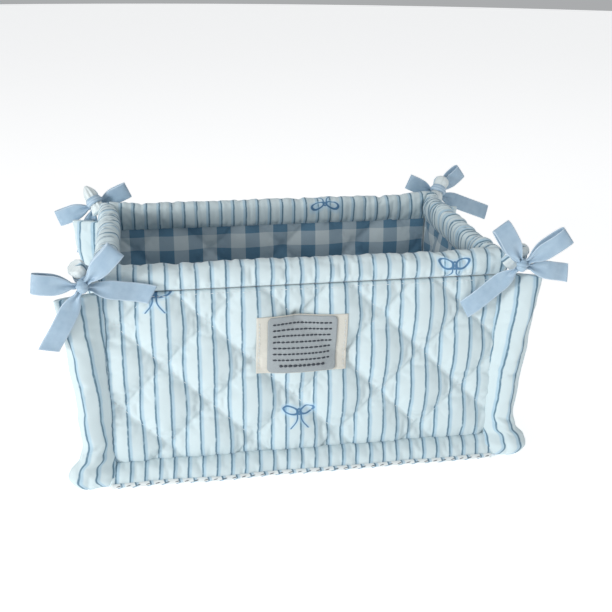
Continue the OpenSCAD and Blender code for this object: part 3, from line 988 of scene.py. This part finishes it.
def sew(name, stitches, material, thick):
    """One piece of thread per (start, end)."""
    bm = bmesh.new()
    for first, last in stitches:
        made = bmesh.ops.create_icosphere(bm, subdivisions=1, radius=1.0)["verts"]
        run_ = last - first
        stretch = Matrix.Diagonal((thick, thick, run_.length / 2 + thick / 2, 1))
        lay = run_.to_track_quat("Z", "Y").to_matrix().to_4x4()
        bmesh.ops.transform(bm, matrix=Matrix.Translation((first + last) / 2) @ lay @ stretch, verts=made)
    for face_ in bm.faces:
        face_.smooth = True
    piece = make_piece(name, bm, material)
    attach(piece, "basket")
    return piece


wall_tops = {}
for side in WALLS:
    bm = bmesh.new()
    bm.from_mesh(bpy.data.objects["quilted_wall_" + side].data)
    wall_tops[side] = BVHTree.FromBMesh(bm)
    bm.free()


def on_wall(side, a, z):
    """The wall's outer cloth at (a, z), in the basket's place."""
    place = to_wall(side)
    outward = place.to_3x3() @ Vector((0, 1, 0))
    hit = wall_tops[side].ray_cast(place @ Vector((a, -0.05, z)), outward)
    return hit[0] if hit[0] is not None else None


stitch_step, stitch_long = 0.0038, 0.0024
tick_step, tick_long = 0.0072, 0.0036
for side in WALLS:
    ticks = []
    run = WALLS[side][1] - welt_reach + 0.004
    a = -run
    while a < run:
        ends = []
        for at in (a, a + tick_long):
            sag = 0.0016 * crease_at(at * 22, 0.2, gather_seed[side] + 50)
            ends.append(to_wall(side)
                        @ Vector((at, -(binding_out - 0.0004 + sag), 0.0024 + 0.0008 * (at > a))))
        ticks.append(ends)
        a += tick_step
    sew("binding_stitches_" + side, ticks, dark_thread, 0.00034)

for side in WALLS:
    half, stitches = WALLS[side][1], []
    for lean in (1, -1):
        for k in range(-6, 7):
            base_a = k * quilt_diamond - 0.0125 if lean > 0 else k * quilt_diamond - 0.0025
            z = seam_low + 0.019
            while z < hem_line - 0.004:
                ends = []
                for at in (z, z + stitch_long / math.sqrt(2)):
                    a = base_a - lean * at
                    ends.append(on_wall(side, a, at) if abs(a) < half - 0.006 else None)
                if all(ends):
                    stitches.append(ends)
                z += stitch_step / math.sqrt(2)
    a = -half + 0.008
    while a < half - 0.008:
        ends = [on_wall(side, at, hem_line - 0.0025) for at in (a, a + stitch_long)]
        if all(ends):
            stitches.append(ends)
        a += stitch_step
    if stitches:
        sew("quilting_stitches_" + side, stitches, thread, 0.00028)

# ---- Label ---------------------------------------------------------------------------------
# A cream cotton tape is sewn to the front wall, with a smaller grey patch on it. The patch has
# plain rows of running stitches.
def label_cloth(name, light, dark, thread_size):
    material, tree, shader = new_material(name)
    cloth = tree.nodes.new("ShaderNodeUVMap")
    cloth.uv_map = "cloth"
    weave = use_group(tree, plain_weave, cloth.outputs["UV"], Thread=thread_size)
    tree.links.new(mix_colour(tree, weave.outputs["Height"], dark, light), shader.inputs["Base Color"])
    shader.inputs["Roughness"].default_value = 0.85
    cloth_bump(tree, shader, weave.outputs["Height"], 0.00018)
    return material


label_tilt, label_middle, label_shift = math.radians(-0.5), 0.106, -0.004
label_depths = {}


def label_height(x, z):
    key = (round(x * 500), round(z * 500))
    if key not in label_depths:
        found = [on_wall("front", x + dx, z + dz) for dx in (-0.008, 0, 0.008) for dz in (-0.008, 0, 0.008)]
        found = [p.y for p in found if p is not None]
        label_depths[key] = 0.7 * min(found) + 0.3 * sum(found) / len(found)
    return label_depths[key]


def on_label(u, w):
    """From a place on the label, across and up from its middle, to the wall's (x, z)."""
    return (label_shift + u * math.cos(label_tilt) - w * math.sin(label_tilt),
            label_middle + u * math.sin(label_tilt) + w * math.cos(label_tilt))


def label_place(wide_, tall, off):
    def place(s, t):
        u, w = (s - 0.5) * wide_, (t - 0.5) * tall
        x, z = on_label(u, w)
        return Vector((x, label_height(x, z) - off, z))
    return place


tape_size, patch_size = (0.068, 0.0455), (0.0515, 0.0440)
tape_bm = cut_cloth("tape", 66, 43, label_place(*tape_size, 0.0004), lambda s,
                    t: (tape_size[0] * s, tape_size[1] * t))
bmesh.ops.smooth_vert(tape_bm, verts=[v for v in tape_bm.verts if not v.is_boundary], factor=0.5,
                      use_axis_y=True)
tape = make_piece("label_tape_cloth", tape_bm,
                  label_cloth("cream_tape", (0.72, 0.71, 0.65), (0.60, 0.59, 0.53), 0.0005))
patch_bm = cut_cloth("patch", 48, 41, label_place(*patch_size, 0.0013), lambda s,
                     t: (patch_size[0] * s, patch_size[1] * t))
bmesh.ops.smooth_vert(patch_bm, verts=[v for v in patch_bm.verts if not v.is_boundary], factor=0.5,
                      use_axis_y=True)
patch_cut = 0.0035
for v in patch_bm.verts:
    x = v.co.x - label_shift
    u = x * math.cos(label_tilt) + (v.co.z - label_middle) * math.sin(label_tilt)
    w = -x * math.sin(label_tilt) + (v.co.z - label_middle) * math.cos(label_tilt)
    over_u, over_w = abs(u) - patch_size[0] / 2 + patch_cut, abs(w) - patch_size[1] / 2 + patch_cut
    if over_u > 0 and over_w > 0:
        pull = min(1.0, max(over_u, over_w) / math.hypot(over_u, over_w))
        u -= math.copysign(over_u * (1 - pull), u)
        w -= math.copysign(over_w * (1 - pull), w)
        v.co.x, v.co.z = on_label(u, w)
patch = make_piece("label_patch_cloth", patch_bm,
                   label_cloth("grey_patch", (0.40, 0.44, 0.46), (0.30, 0.34, 0.36), 0.0004))
patch_tree = BVHTree.FromObject(patch, bpy.context.evaluated_depsgraph_get())
for piece, thick, node, flat in ((tape, 0.0004, "label_tape", tape_size),
                                 (patch, 0.0005, "label_patch", patch_size)):
    body = piece.modifiers.new("cloth_thickness", "SOLIDIFY")
    body.thickness = thick
    body.offset = 0.0
    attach(piece, "basket")
    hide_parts(node)

rows, bold_row = [], []
random.seed(7)
for row in range(8):
    w = patch_size[1] / 2 - 0.0055 - row * 0.0047
    bold = row == 7
    u = -patch_size[0] / 2 + (0.004 if not bold else 0.009)
    stop = patch_size[0] / 2 - (0.004 if not bold else 0.009)
    while u < stop:
        long_ = 0.0016 + 0.0014 * random.random()
        ends = []
        for end in (u, min(u + long_, stop)):
            x, z = on_label(end, w)
            hit = patch_tree.ray_cast(Vector((x, -0.2, z)), Vector((0, 1, 0)))
            ends.append(hit[0] + Vector((0, -0.0003, 0)) if hit[0] is not None else None)
        if all(ends) and (ends[1] - ends[0]).length > 0.0006:
            (bold_row if bold else rows).append(ends)
        u += long_ + (0.0014 if bold else 0.0009)
sew("label_row_stitches", rows, dark_thread, 0.0008)
sew("label_bold_stitches", bold_row, dark_thread, 0.0012)
edge_rows = []
for side_ in (-1, 1):
    for k in range(13):
        w = -tape_size[1] / 2 + 0.002 + k * 0.0031
        ends = []
        for end in (w, w + 0.0019):
            u = side_ * (tape_size[0] / 2 - 0.0022)
            x, z = on_label(u, end)
            ends.append(Vector((x, label_height(x, z) - 0.0008, z)))
        if all(ends):
            edge_rows.append(ends)
sew("label_edge_stitches", edge_rows, thread, 0.0003)
